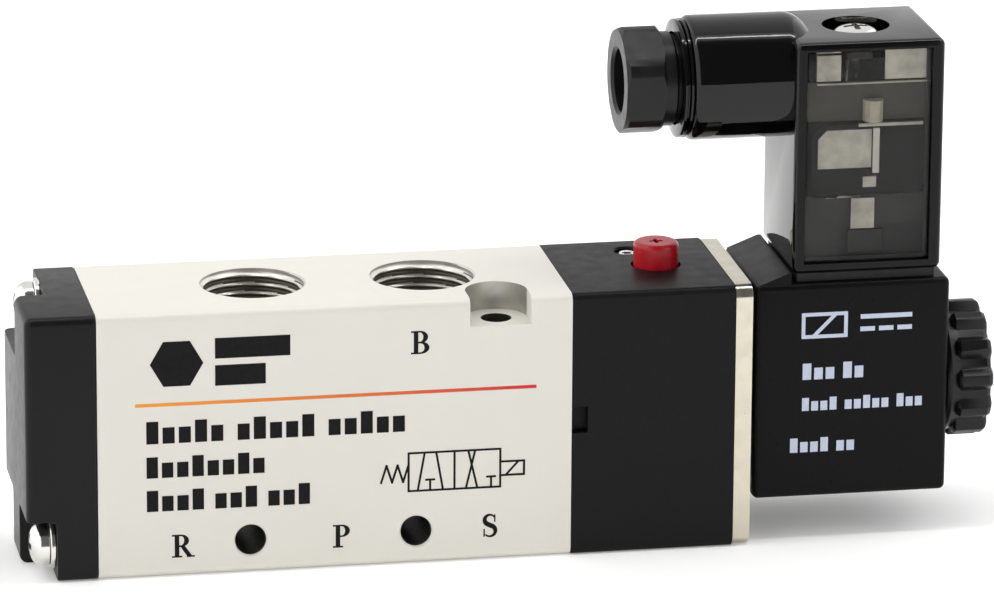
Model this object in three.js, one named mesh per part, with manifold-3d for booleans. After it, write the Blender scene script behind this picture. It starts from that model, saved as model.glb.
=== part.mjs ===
// A 5/2-way single-solenoid pneumatic valve: body, end cap, pilot block, coil and DIN plug, in millimetres, +Z up.
// X runs from the end cap (-X) to the coil nut (+X), Y runs from the labelled face (-Y) to the back, Z = 0 is the base.
import * as THREE from "three";
import { mergeVertices } from "three/addons/utils/BufferGeometryUtils.js";
import Module from "manifold-3d";

const wasm = await Module();
wasm.setup();

// ---- Driving dimensions -------------------------------------------------------------------------------------------
const width = 27;
const height = 40;
const capLength = 10.4;
const bodyLength = 69.8;
const pilotLength = 24.3;
const plateThickness = 2.6;
const sealGap = 1;
const coilLength = 29.3;
const nutLength = 7.4;
const seam = 0.1;
const cornerRound = 1.3;

const front = -width / 2;
const back = width / 2;
const spoolHeight = height / 2;

// Stations along X, counted from the joint between the end cap and the body.
const bodyEnd = bodyLength;
const pilotEnd = bodyEnd + pilotLength;
const plateEnd = pilotEnd + plateThickness;
const coilStart = plateEnd + sealGap;
const coilEnd = coilStart + coilLength;
const nutEnd = coilEnd + nutLength;
const middle = (nutEnd - capLength) / 2;

// Ports and holes of the body.
const portRadius = 7.1;
const portMouthRadius = 7.7;
const portDepth = 9;
const passageRadius = 3.5;
const topPorts = [24.7, 49.9];
const bottomPorts = [12.4, 34.9, 57.4];
const spoolBore = 6.5;
const crossHoles = [22.3, 46.75];
const crossHoleHeight = 5;
const crossHoleRadius = 2.3;
const mountX = 59.2;
const mountY = -9.4;
const mountHoleRadius = 2.25;
const mountHeadRadius = 4.55;
const mountHeadDepth = 4.2;

// Cap screws sit in open corner recesses; the pilot block and the plate have two screws each.
const screwInset = 4.6;
const capRecess = 4.4;
const capRecessWidth = 9.6;
const highRecessWidth = 14.4;
const capRecessHeight = 9.2;
const capScrews = [
  { y: front + screwInset, z: screwInset, wide: capRecessWidth },
  { y: back - screwInset, z: screwInset, wide: capRecessWidth },
  { y: 6.3, z: 36.6, wide: highRecessWidth },
];
const pilotScrews = [
  { y: front + screwInset, z: height - screwInset },
  { y: back - screwInset, z: screwInset },
];
const plateScrews = [
  { y: front + screwInset, z: screwInset },
  { y: back - screwInset, z: height - screwInset },
];

// Manual override and vent on top of the pilot block.
const overrideX = 84.9;
const buttonRadius = 3.35;
const buttonRise = 3.6;
const buttonSink = 1;
const ventX = 82.1;
const ventY = 7.7;

// Solenoid.
const coilAxis = 21.8;
const coilHalfWidth = 11;
const coilBottom = 6.2;
const coilTop = 39.1;
const tubeRadius = 4.6;
const windingRadius = 9.4;
const nutRadius = 10.3;
const nutLobes = 12;
const lobeDepth = 1.2;

// Connector (plug) on top of the coil, with its cable gland to the left.
const plugStart = 103.3;
const plugEnd = 125.6;
const plugX = (plugStart + plugEnd) / 2;
const plugHalfWidth = 10.4;
const plugBottom = 40.4;
const plugTop = 75.3;
const plugScrewSink = 2.7;
const windowBox = { x0: 104.9, x1: 123.7, z0: 41.9, z1: 74 };
const glandAxis = 68.3;
const bossRadius = 9.2;
const bossStart = 88.6;
const glandStart = 78.8;
const cableRadius = 4.7;

const fine = 32;
const plain = 18;
const coarse = 12;

// ---- Materials ----------------------------------------------------------------------------------------------------
const finish = (color, roughness, metalness = 0) => ({ color, roughness, metalness });
const champagne = finish(0xe3e0d2, 0.45, 0.35);
const blackPlastic = finish(0x232326, 0.5);
const glossPlastic = finish(0x101012, 0.18);
const redPlastic = finish(0xb01822, 0.4);
const nickel = finish(0xd8d6cf, 0.2, 1);
const steel = finish(0xb5b7ba, 0.3, 1);
const brass = finish(0xb8923f, 0.35, 1);
const copper = finish(0xa9582c, 0.4, 1);
const rubber = finish(0x1b1b1b, 0.8);
const smoke = finish(0x4a4a44, 0.1);
const boardGreen = finish(0x4d5a46, 0.6);
const lampRed = finish(0xc9b68a, 0.3);

// ---- Shapes -------------------------------------------------------------------------------------------------------
/** A box between two corners. */
function block([x0, x1], [y0, y1], [z0, z1]) {
  const shape = new THREE.BoxGeometry(x1 - x0, y1 - y0, z1 - z0);
  return shape.translate((x0 + x1) / 2, (y0 + y1) / 2, (z0 + z1) / 2);
}

/** Turns a shape made along Z so that it runs along X, with its own x along Y and its own y along Z. */
function layAlongX(shape) {
  const turn = new THREE.Matrix4().makeBasis(
    new THREE.Vector3(0, 1, 0),
    new THREE.Vector3(0, 0, 1),
    new THREE.Vector3(1, 0, 0),
  );
  return shape.applyMatrix4(turn);
}

/** A solid of revolution about Z from a closed outline of [z, radius] points. */
function turned(outline, sides = plain) {
  const points = outline.map(([z, radius]) => new THREE.Vector2(radius, z));
  if (THREE.ShapeUtils.area(points) < 0) points.reverse();
  if (points[0].x > 0 || points.at(-1).x > 0) points.push(points[0].clone());
  return new THREE.LatheGeometry(points, sides).rotateX(Math.PI / 2);
}

const turnedX = (outline, y, z, sides) => layAlongX(turned(outline, sides)).translate(0, y, z);
const turnedZ = (outline, x, y, sides) => turned(outline, sides).translate(x, y, 0);
const rod = (from, to, radius, endRadius = radius) => [
  [from, 0],
  [from, radius],
  [to, endRadius],
  [to, 0],
];
const ring = (from, to, inner, outer) => [
  [from, inner],
  [from, outer],
  [to, outer],
  [to, inner],
];
const rodX = (from, to, radius, y, z, sides = plain) => turnedX(rod(from, to, radius), y, z, sides);
const rodZ = (from, to, radius, x, y, sides = plain) => turnedZ(rod(from, to, radius), x, y, sides);
const rodY = (from, to, radius, x, z, sides = plain) =>
  turned(rod(from, to, radius), sides).rotateX(-Math.PI / 2).translate(x, 0, z);

/** An O-ring's round outline at a station along its axis. */
function cordOutline(station, radius, cord) {
  const steps = 6;
  return Array.from({ length: steps }, (_, i) => {
    const angle = (i / steps) * 2 * Math.PI;
    return [station + cord * Math.sin(angle), radius + cord * Math.cos(angle)];
  });
}

/** A rectangle with rounded corners, centred on the origin. */
function roundedRectangle(w, h, r) {
  const shape = new THREE.Shape();
  shape.moveTo(w / 2 - r, -h / 2);
  shape.absarc(w / 2 - r, -h / 2 + r, r, -Math.PI / 2, 0);
  shape.absarc(w / 2 - r, h / 2 - r, r, 0, Math.PI / 2);
  shape.absarc(-w / 2 + r, h / 2 - r, r, Math.PI / 2, Math.PI);
  shape.absarc(-w / 2 + r, -h / 2 + r, r, Math.PI, 1.5 * Math.PI);
  return shape;
}

/** A bar of the valve's own section, from one station along X to another. */
function valveBar(from, to, round) {
  const shape = new THREE.ExtrudeGeometry(roundedRectangle(width, height, round), {
    depth: to - from,
    bevelEnabled: false,
    curveSegments: 4,
  });
  return layAlongX(shape).translate(from, 0, height / 2);
}

/** A helical spring about Z; it is turned and placed afterwards. */
function springCoil(from, to, radius, wire, turns) {
  class Helix extends THREE.Curve {
    getPoint(t, point = new THREE.Vector3()) {
      const angle = t * turns * 2 * Math.PI;
      const z = from + wire + t * (to - from - 2 * wire);
      return point.set(radius * Math.cos(angle), radius * Math.sin(angle), z);
    }
  }
  const section = new THREE.Shape();
  for (let i = 0; i < 5; i += 1) {
    const angle = (i / 5) * 2 * Math.PI;
    section[i ? "lineTo" : "moveTo"](wire * Math.cos(angle), wire * Math.sin(angle));
  }
  return new THREE.ExtrudeGeometry(section, {
    steps: turns * 10,
    extrudePath: new Helix(),
  });
}

// ---- Solid operations ---------------------------------------------------------------------------------------------
function toSolid(shape) {
  const bare = shape.clone();
  bare.deleteAttribute("normal");
  bare.deleteAttribute("uv");
  const merged = mergeVertices(bare, 1e-4);
  return new wasm.Manifold(
    new wasm.Mesh({
      numProp: 3,
      vertProperties: merged.attributes.position.array,
      triVerts: new Uint32Array(merged.index.array),
    }),
  );
}

function toShape(solid) {
  const mesh = solid.getMesh();
  const shape = new THREE.BufferGeometry();
  shape.setAttribute("position", new THREE.BufferAttribute(mesh.vertProperties, 3));
  shape.setIndex(new THREE.BufferAttribute(mesh.triVerts, 1));
  shape.computeVertexNormals();
  return shape;
}

const cut = (shape, ...tools) =>
  toShape(tools.reduce((solid, tool) => solid.subtract(toSolid(tool)), toSolid(shape)));
const join = (shape, ...others) =>
  toShape(others.reduce((solid, other) => solid.add(toSolid(other)), toSolid(shape)));
const common = (shape, other) => toShape(toSolid(shape).intersect(toSolid(other)));

// ---- The assembly -------------------------------------------------------------------------------------------------
const valve = new THREE.Group();
valve.position.x = -middle;
const part = new THREE.Group();
part.add(valve);

function add(name, shape, look) {
  const mesh = new THREE.Mesh(shape, new THREE.MeshStandardMaterial(look));
  mesh.name = name;
  valve.add(mesh);
}

/** One port as tools: thread bore with a chamfered mouth, then a passage to the spool bore. */
function portTools(x, side) {
  const face = side > 0 ? height : 0;
  const inward = -side;
  const bore = rod(face + side * 2, face + inward * portDepth, portRadius);
  const mouth = rod(face + side * 0.6, face + inward * 0.8, portMouthRadius + 0.6, portRadius - 0.2);
  const passage = rod(face, spoolHeight, passageRadius);
  return [turnedZ(bore, x, 0, fine), turnedZ(mouth, x, 0, fine), turnedZ(passage, x, 0, coarse)];
}

function buildBody() {
  const headFloor = height - mountHeadDepth;
  const tools = [
    rodX(-1, bodyLength + 1, spoolBore, 0, spoolHeight),
    ...topPorts.flatMap((x) => portTools(x, 1)),
    ...bottomPorts.flatMap((x) => portTools(x, -1)),
    ...crossHoles.map((x) => rodY(front - 1, back + 1, crossHoleRadius, x, crossHoleHeight, coarse)),
    rodZ(-1, height, mountHoleRadius, mountX, mountY, coarse),
    rodZ(headFloor, height + 1, mountHeadRadius, mountX, mountY),
    block([mountX - mountHeadRadius, mountX + mountHeadRadius], [front - 1, mountY], [headFloor, height + 1]),
    ...capScrews.map(({ y, z }) => rodX(-1, 8, 1.8, y, z, coarse)),
    ...pilotScrews.map(({ y, z }) => rodX(bodyEnd - 7, bodyEnd + 1, 1.8, y, z, coarse)),
  ];
  add("valve_body", cut(valveBar(0, bodyEnd, cornerRound), ...tools), champagne);
}

function capRecessTool({ y, z, wide }) {
  const ySpan = y < 0 ? [front - 1, front + wide] : [back - wide, back + 1];
  const zSpan = z < spoolHeight ? [-1, capRecessHeight] : [height - capRecessHeight, height + 1];
  return block([-capLength - 1, -capLength + capRecess], ySpan, zSpan);
}

function buildEndCap() {
  const bevel = 1.2;
  const stock = new THREE.ExtrudeGeometry(roundedRectangle(width - 2 * bevel, height - 2 * bevel, 0.6), {
    depth: capLength + 4,
    bevelEnabled: true,
    bevelSize: bevel,
    bevelThickness: bevel,
    bevelSegments: 3,
    curveSegments: 2,
  });
  layAlongX(stock).translate(-capLength + bevel, 0, height / 2);
  const tools = [
    block([-seam, 20], [-width, width], [-1, height + 1]),
    rodX(-7.5, 1, 5.4, 0, spoolHeight),
    turnedX(ring(-1.5, 1, 6.7, 8.9), 0, spoolHeight),
    ...capScrews.map(capRecessTool),
    ...capScrews.map(({ y, z }) => rodX(-capLength, 1, 1.8, y, z, coarse)),
  ];
  add("end_cap", cut(stock, ...tools), blackPlastic);
  add("end_cap_seal", turnedX(ring(-1.4, -seam, 6.9, 8.6), 0, spoolHeight), rubber);
}

/** A pan head on a plain shank, with a cross recess; it is made along Z, head up, seated at z = 0. */
function panScrew(headRadius, headHeight, shankRadius, shankLength, sides = coarse) {
  const dome = [
    [0, headRadius],
    [headHeight * 0.45, headRadius],
    [headHeight * 0.8, headRadius * 0.82],
    [headHeight, headRadius * 0.45],
    [headHeight, 0],
  ];
  const outline = [[-shankLength, 0], [-shankLength, shankRadius], [0, shankRadius], ...dome];
  const slot = headRadius * 0.5;
  const arms = [
    block([-slot, slot], [-0.45, 0.45], [headHeight * 0.35, headHeight + 1]),
    block([-0.45, 0.45], [-slot, slot], [headHeight * 0.35, headHeight + 1]),
  ];
  return cut(turned(outline, sides), ...arms);
}

/** A screw turned so that its head faces -X or +X. */
function screwAlongX(shape, facing, x, y, z) {
  return shape.rotateY((facing * Math.PI) / 2).translate(x, y, z);
}

function buildCapScrews() {
  const floor = -capLength + capRecess;
  const washer = 0.8;
  capScrews.forEach(({ y, z }, i) => {
    const screw = screwAlongX(panScrew(3.25, 2.8, 1.5, 11, plain), -1, floor - washer - 0.05, y, z);
    add(`cap_screw_${i + 1}`, screw, nickel);
    add(`cap_washer_${i + 1}`, turnedX(ring(floor - washer, floor, 1.7, 3.7), y, z), nickel);
  });
}

function buildSpool() {
  const grooves = [6.5, 18.5, 29.8, 42.4, 53.65, 64];
  const land = 5.9;
  const waist = 3.6;
  const grooveHalf = 0.9;
  const outline = [[2, 0], [2, 2.6], [4.2, 2.6], [4.2, land]];
  grooves.forEach((x, i) => {
    outline.push([x - grooveHalf, land], [x - grooveHalf, 4.9], [x + grooveHalf, 4.9], [x + grooveHalf, land]);
    if (i < grooves.length - 1) {
      outline.push([x + 2.4, land], [x + 2.4, waist], [grooves[i + 1] - 2.4, waist], [grooves[i + 1] - 2.4, land]);
    }
  });
  outline.push([67, land], [67, 3], [74, 3], [74, 0]);
  add("spool", turnedX(outline, 0, spoolHeight, coarse), steel);
  grooves.forEach((x, i) => {
    const seal = turnedX(cordOutline(x, 5.6, 0.65), 0, spoolHeight, coarse);
    add(`spool_seal_${i + 1}`, seal, rubber);
  });
  const spring = layAlongX(springCoil(-7.3, 4.1, 3.9, 0.5, 5)).translate(0, 0, spoolHeight);
  add("return_spring", spring, steel);
}

function buildPilotPiston() {
  const outline = [[74.2, 0], [74.2, 9.1], [75.2, 9.1], [75.2, 7.7], [77, 7.7], [77, 9.1], [78, 9.1], [78, 0]];
  add("pilot_piston", turnedX(outline, 0, spoolHeight), blackPlastic);
  add("piston_seal", turnedX(cordOutline(76.1, 8.6, 0.75), 0, spoolHeight), rubber);
}

function buildPilotBlock() {
  const start = bodyEnd + seam;
  const end = pilotEnd;
  const seat = end - 6;
  const tools = [
    rodX(start - 1, start + 9.6, 9.6, 0, spoolHeight),
    turnedX(ring(start - 1, start + 1.4, 10.1, 11.7), 0, spoolHeight),
    block([start - 1, start + 2.3], [front - 1, front + 1.5], [18.8, 22.8]),
    rodZ(33.2, height + 1, buttonRadius + 0.35, overrideX, 0),
    rodZ(24, height, 2.25, overrideX, 0, coarse),
    rodZ(height - 2.4, height + 1, 1.9, ventX, ventY, coarse),
    rodX(seat, end + 1, 5.3, 0, coilAxis),
    ...pilotScrews.map(({ y, z }) => rodX(start - 1, end + 1, 1.8, y, z, coarse)),
    ...pilotScrews.map(({ y, z }) => rodX(end - 4, end + 1, 3.4, y, z, coarse)),
    ...plateScrews.map(({ y, z }) => rodX(end - 9, end + 1, 1.8, y, z, coarse)),
  ];
  add("pilot_block", cut(valveBar(start, end, 1), ...tools), blackPlastic);
  add("pilot_seal", turnedX(ring(start + 0.05, start + 1.3, 10.3, 11.5), 0, spoolHeight), rubber);
  add("vent_bush", turnedZ(ring(height - 2.4, height - 0.3, 0.7, 1.25), ventX, ventY, coarse), nickel);
  const nozzle = [
    [seat, 0.5],
    [seat, 3.4],
    [seat + 1.2, 3.4],
    [seat + 1.2, 1.3],
    [seat + 2.4, 1.1],
    [seat + 2.4, 0.5],
  ];
  add("pilot_nozzle", turnedX(nozzle, 0, coilAxis, coarse), brass);
  pilotScrews.forEach(({ y, z }, i) => {
    const screw = screwAlongX(panScrew(3, 2.3, 1.5, end - 4 - bodyEnd + 6), 1, end - 3.95, y, z);
    add(`pilot_screw_${i + 1}`, screw, steel);
  });
}

function buildOverride() {
  const underside = height - buttonSink;
  const top = height + buttonRise;
  const bodyOutline = [
    [underside, 0],
    [underside, buttonRadius],
    [top - 0.4, buttonRadius],
    [top, buttonRadius - 0.4],
    [top, 0],
  ];
  const slots = [
    block([overrideX - 0.9, overrideX + 0.9], [-0.3, 0.3], [top - 1, top + 1]),
    block([overrideX - 0.3, overrideX + 0.3], [-0.9, 0.9], [top - 1, top + 1]),
  ];
  add("override_button", cut(turnedZ(bodyOutline, overrideX, 0), ...slots), redPlastic);
  const stem = [
    [26.4, 0],
    [26.4, 1.4],
    [27, 2],
    [29.6, 2],
    [29.6, 1.3],
    [31, 1.3],
    [31, 2],
    [underside - 0.05, 2],
    [underside - 0.05, 0],
  ];
  add("override_plunger", turnedZ(stem, overrideX, 0, coarse), steel);
  add("override_seal", turnedZ(cordOutline(30.3, 1.75, 0.4), overrideX, 0, coarse), rubber);
  const spring = springCoil(33.25, underside - 0.05, 2.8, 0.25, 4).translate(overrideX, 0, 0);
  add("override_spring", spring, steel);
}

function buildPlate() {
  const start = pilotEnd + seam;
  const outline = new THREE.ExtrudeGeometry(roundedRectangle(width, height, 2), {
    depth: plateEnd - start,
    bevelEnabled: false,
    curveSegments: 6,
  });
  layAlongX(outline).translate(start, 0, height / 2);
  const tools = [
    rodX(start - 1, plateEnd + 1, tubeRadius + 0.15, 0, coilAxis),
    ...plateScrews.map(({ y, z }) => rodX(start - 1, plateEnd + 1, 1.8, y, z, coarse)),
    ...plateScrews.map(({ y, z }) => rodX(plateEnd - 1.6, plateEnd + 1, 3.2, y, z, coarse)),
  ];
  add("solenoid_plate", cut(outline, ...tools), nickel);
  plateScrews.forEach(({ y, z }, i) => {
    const screw = screwAlongX(panScrew(2.8, 1.5, 1.5, 9), 1, plateEnd - 1.55, y, z);
    add(`plate_screw_${i + 1}`, screw, steel);
  });
}

function buildSolenoidCore() {
  const flange = pilotEnd - 3.4;
  const tubeEnd = coilEnd - 3;
  const tube = [
    [flange, tubeRadius - 0.5],
    [flange, 5.1],
    [flange + 1.4, 5.1],
    [flange + 1.4, tubeRadius],
    [tubeEnd, tubeRadius],
    [tubeEnd, tubeRadius - 0.5],
  ];
  add("armature_tube", turnedX(tube, 0, coilAxis), steel);
  const core = [
    [tubeEnd - 11, 0],
    [tubeEnd - 11, 3.9],
    [tubeEnd, 3.9],
    [tubeEnd, 4.4],
    [coilEnd, 4.4],
    [coilEnd, 2.9],
    [nutEnd - 1.4, 2.9],
    [nutEnd - 1, 2.5],
    [nutEnd - 1, 0],
  ];
  add("fixed_core", turnedX(core, 0, coilAxis), steel);
  const left = pilotEnd - 2.8;
  const right = tubeEnd - 12;
  const armature = [
    [left, 0],
    [left, 3.85],
    [right, 3.85],
    [right, 2.4],
    [right - 8, 2.4],
    [right - 8, 0],
  ];
  add("armature", turnedX(armature, 0, coilAxis), steel);
  add("armature_seal", rodX(left - 0.7, left - 0.05, 2.6, 0, coilAxis, coarse), rubber);
  const spring = layAlongX(springCoil(right - 7.95, tubeEnd - 11.05, 1.8, 0.3, 6)).translate(0, 0, coilAxis);
  add("armature_spring", spring, steel);
}

function buildCoil() {
  const start = coilStart;
  const lip = plugStart - 0.2;
  const bore = tubeRadius + 0.2;
  const ramp = new THREE.Shape();
  ramp.moveTo(start, coilTop - 1);
  ramp.lineTo(lip, coilTop - 1);
  ramp.lineTo(lip, coilTop + 1.6);
  ramp.lineTo(lip - 0.6, coilTop + 1.6);
  ramp.lineTo(start + 0.4, coilTop);
  ramp.lineTo(start, coilTop - 0.4);
  const wedge = new THREE.ExtrudeGeometry(ramp, { depth: 2 * (coilHalfWidth - 0.5), bevelEnabled: false });
  wedge.rotateX(Math.PI / 2).translate(0, coilHalfWidth - 0.5, 0);
  const section = roundedRectangle(2 * coilHalfWidth, coilTop - coilBottom, 0.9);
  const stock = new THREE.ExtrudeGeometry(section, { depth: coilLength, bevelEnabled: false, curveSegments: 3 });
  layAlongX(stock).translate(start, 0, (coilTop + coilBottom) / 2);
  const tools = [
    rodX(start - 1, coilEnd - 2.4, 9.9, 0, coilAxis),
    rodX(start, coilEnd + 1, bore, 0, coilAxis),
    rodZ(coilTop - 5, coilTop + 1, 1.8, plugX, 0, coarse),
    ...coilPins.map(({ x, y, alongY }) => pinBlade(x, y, alongY, coilTop - 2.5, coilTop + 3, 0.15)),
  ];
  add("coil_housing", cut(join(stock, wedge), ...tools), blackPlastic);
  const inner = bore + 0.05;
  const bobbin = [
    [start + 0.2, inner],
    [start + 0.2, 9.7],
    [start + 1.4, 9.7],
    [start + 1.4, inner + 0.7],
    [coilEnd - 3.9, inner + 0.7],
    [coilEnd - 3.9, 9.7],
    [coilEnd - 2.6, 9.7],
    [coilEnd - 2.6, inner],
  ];
  add("coil_bobbin", turnedX(bobbin, 0, coilAxis), blackPlastic);
  const winding = ring(start + 1.6, coilEnd - 4.1, inner + 0.8, windingRadius);
  add("coil_winding", turnedX(winding, 0, coilAxis), copper);
  add("coil_seal", turnedX(ring(plateEnd + 0.1, start - 0.1, tubeRadius + 0.2, 7), 0, coilAxis), rubber);
  coilPins.forEach(({ x, y, alongY }, i) => {
    add(`coil_pin_${i + 1}`, pinBlade(x, y, alongY, coilTop - 2.4, coilTop + 9, 0), nickel);
  });
}

// The coil's two power blades and its earth blade stand up into the plug.
const coilPins = [
  { x: plugX - 6, y: 0, alongY: true },
  { x: plugX + 6, y: 0, alongY: true },
  { x: plugX, y: 6.6, alongY: false },
];

function pinBlade(x, y, alongY, from, to, grow) {
  const thin = 0.4 + grow;
  const wide = 2.4 + grow;
  const halfX = alongY ? thin : wide;
  const halfY = alongY ? wide : thin;
  return block([x - halfX, x + halfX], [y - halfY, y + halfY], [from, to]);
}

/** The round knob nut: a disc against the coil, then a ring of lobes with grooves between them. */
function buildCoilNut() {
  const outline = new THREE.Shape();
  const steps = nutLobes * 5;
  const firstLobe = THREE.MathUtils.degToRad(25.3);
  for (let i = 0; i < steps; i += 1) {
    const angle = (i / steps) * 2 * Math.PI;
    const wave = THREE.MathUtils.clamp(1.6 * Math.cos(nutLobes * (angle - firstLobe)), -1, 1);
    const radius = nutRadius + (wave - 1) * (lobeDepth / 2);
    if (i === 0) outline.moveTo(radius * Math.cos(angle), radius * Math.sin(angle));
    else outline.lineTo(radius * Math.cos(angle), radius * Math.sin(angle));
  }
  const lobes = new THREE.ExtrudeGeometry(outline, { depth: nutLength - 2.6, bevelEnabled: false });
  layAlongX(lobes).translate(coilEnd + 2.2, 0, coilAxis);
  const hub = [
    [coilEnd + 0.3, 0],
    [coilEnd + 0.3, 8.6],
    [coilEnd + 2.3, nutRadius - lobeDepth],
    [nutEnd, nutRadius - lobeDepth - 0.3],
    [nutEnd, 0],
  ];
  const bore = rodX(coilEnd, nutEnd + 1, 3.1, 0, coilAxis);
  add("coil_nut", cut(join(lobes, turnedX(hub, 0, coilAxis, fine)), bore), blackPlastic);
}

function buildPlugHousing() {
  const wall = 1.5;
  const floor = plugTop - plugScrewSink;
  const section = roundedRectangle(plugEnd - plugStart, 2 * plugHalfWidth, 1);
  const stock = new THREE.ExtrudeGeometry(section, {
    depth: plugTop - plugBottom,
    bevelEnabled: false,
    curveSegments: 3,
  });
  stock.translate(plugX, 0, plugBottom);
  const boss = [
    [bossStart, 0],
    [bossStart, bossRadius - 0.5],
    [bossStart + 0.5, bossRadius],
    [plugStart, bossRadius],
    [plugStart + 4, bossRadius - 3],
    [plugStart + 4, 0],
  ];
  const rim = ring(bossStart - 1.5, bossStart + 1, 6.9, 8.8);
  const shell = join(stock, turnedX(boss, 0, glandAxis, fine), turnedX(rim, 0, glandAxis, fine));
  const cavity = block(
    [plugStart + wall, plugEnd - wall],
    [-plugHalfWidth + 1.9, plugHalfWidth - wall],
    [plugBottom - 1, plugTop - 1.8],
  );
  const cup = rodZ(floor - 1.2, plugTop, 6, plugX, 0);
  const room = cut(cavity, cup);
  const pane = windowBox;
  const tools = [
    room,
    block([pane.x0, pane.x1], [-plugHalfWidth - 1, -plugHalfWidth + 2.2], [pane.z0, pane.z1]),
    rodX(bossStart - 3, plugStart - 3, 6.9, 0, glandAxis, fine),
    rodX(bossStart, plugStart + 2, cableRadius, 0, glandAxis - 0.4),
    rodZ(floor, plugTop + 5, 5, plugX, 0, fine),
    rodZ(floor - 3, plugTop, 1.8, plugX, 0, coarse),
  ];
  add("plug_housing", cut(shell, ...tools), glossPlastic);
}

function buildPlugWindow() {
  const gap = 0.15;
  const pane = windowBox;
  const glass = block(
    [pane.x0 + gap, pane.x1 - gap],
    [-plugHalfWidth + 0.3, -plugHalfWidth + 1.8],
    [pane.z0 + gap, pane.z1 - gap],
  );
  add("plug_window", glass, smoke);
}

function buildPlugInside() {
  const seat = plugBottom;
  const carrierTop = 57;
  const carrier = block([plugStart + 1.8, plugEnd - 1.8], [-3.4, plugHalfWidth - 1.8], [seat + 0.2, carrierTop]);
  const slots = [
    rodZ(seat - 1, carrierTop + 1, 1.9, plugX, 0, coarse),
    ...coilPins.map(({ x, y, alongY }) => pinBlade(x, y, alongY, seat - 1, carrierTop - 7, 0.25)),
  ];
  add("terminal_carrier", cut(carrier, ...slots), blackPlastic);
  const board = block([plugStart + 2.2, plugEnd - 2.2], [-5.4, -4.4], [seat + 1.6, 66]);
  add("circuit_board", board, boardGreen);
  add("indicator_lamp", rodZ(62.6, 65.8, 1.5, plugX + 1.1, -7, coarse), lampRed);
  [-1, 1].forEach((side, i) => {
    const x = plugX + side * 6.6;
    add(`terminal_clamp_${i + 1}`, block([x - 2.4, x + 2.4], [-2.6, 3.4], [carrierTop + 0.1, 61]), nickel);
    add(`terminal_screw_${i + 1}`, panScrew(2, 1.5, 0.9, 0.05).translate(x, 0.4, 61.1), steel);
  });
  add("resistor", rodX(plugX - 5.6, plugX - 0.6, 1.1, -6.6, 52, coarse), lampRed);
  const inner = [plugStart + 2.6, plugEnd - 2.6];
  const outer = [plugStart + 0.8, plugEnd - 0.8];
  const depth = plugHalfWidth - 0.8;
  const gasket = cut(
    block(outer, [-depth, depth], [coilTop + 0.05, seat - 0.05]),
    block(inner, [-depth + 1.8, depth - 1.8], [coilTop - 1, seat + 1]),
  );
  add("plug_gasket", gasket, rubber);
  const floor = plugTop - plugScrewSink;
  add("plug_screw", panScrew(3.6, 2.5, 1.5, floor - coilTop + 4, plain).translate(plugX, 0, floor + 0.05), nickel);
}

/** The gland nut: a hexagon with its corners taken off, a round collar, and a threaded tail inside the boss. */
function buildGland() {
  const hexEnd = glandStart + 5.9;
  const acrossFlats = 14.9;
  const hexagon = new THREE.CylinderGeometry(acrossFlats / Math.sqrt(3), acrossFlats / Math.sqrt(3), 5.9, 6, 1);
  hexagon.rotateX(Math.PI / 2).translate(0, 0, 2.95);
  hexagon.rotateZ(THREE.MathUtils.degToRad(8.3));
  const turning = [
    [0, 0],
    [0, 7.6],
    [0.6, 8.2],
    [5.3, 8.2],
    [5.9, 7.7],
    [5.9, 0],
  ];
  const head = layAlongX(common(hexagon, turned(turning, fine))).translate(glandStart, 0, glandAxis);
  const collar = rodX(hexEnd - 0.5, bossStart - 1.9, 6.95, 0, glandAxis, fine);
  const tail = rodX(hexEnd, bossStart + 4, 6.5, 0, glandAxis);
  const bore = rodX(glandStart - 1, bossStart + 5, cableRadius, 0, glandAxis);
  add("gland_nut", cut(join(head, collar, tail), bore), blackPlastic);
  const ringStart = bossStart + 4.1;
  add("gland_washer", turnedX(ring(ringStart, ringStart + 0.6, 4.8, 6.6), 0, glandAxis), nickel);
  const grommet = ring(ringStart + 0.7, plugStart - 3.2, cableRadius, 6.6);
  add("gland_grommet", turnedX(grommet, 0, glandAxis), rubber);
}

buildBody();
buildEndCap();
buildCapScrews();
buildSpool();
buildPilotPiston();
buildPilotBlock();
buildOverride();
buildPlate();
buildSolenoidCore();
buildCoil();
buildCoilNut();
buildPlugHousing();
buildPlugWindow();
buildPlugInside();
buildGland();

export default part;
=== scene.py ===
"""Studio scene of a single-solenoid pneumatic valve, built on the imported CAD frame.

Shapes are made in millimetres in the row frame and scaled to metres as they become objects. +X runs from the
end cap to the coil nut, -Y is the labelled face, and +Z is up through the cable plug.
"""

import math

import bmesh
import bpy
from mathutils import Matrix, Vector


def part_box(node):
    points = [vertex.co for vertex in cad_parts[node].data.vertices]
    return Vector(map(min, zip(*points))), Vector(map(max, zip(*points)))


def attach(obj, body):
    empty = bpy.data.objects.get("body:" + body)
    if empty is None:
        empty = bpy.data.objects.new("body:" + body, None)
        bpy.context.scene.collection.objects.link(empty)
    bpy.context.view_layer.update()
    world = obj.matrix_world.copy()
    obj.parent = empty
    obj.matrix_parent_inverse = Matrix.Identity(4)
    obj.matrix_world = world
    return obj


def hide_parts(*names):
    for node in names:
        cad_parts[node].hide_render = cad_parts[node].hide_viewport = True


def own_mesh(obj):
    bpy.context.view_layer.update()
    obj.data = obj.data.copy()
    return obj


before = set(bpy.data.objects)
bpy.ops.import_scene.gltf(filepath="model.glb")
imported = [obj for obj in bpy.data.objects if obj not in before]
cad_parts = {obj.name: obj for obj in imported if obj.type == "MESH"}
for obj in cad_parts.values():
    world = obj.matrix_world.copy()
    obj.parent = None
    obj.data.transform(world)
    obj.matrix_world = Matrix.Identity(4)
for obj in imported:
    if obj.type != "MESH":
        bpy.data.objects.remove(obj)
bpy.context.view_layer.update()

MM = 0.001
SIDES = 96


def corners(node):
    """A CAD node's lowest and highest corner, in millimetres."""
    low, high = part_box(node)
    return low / MM, high / MM


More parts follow.
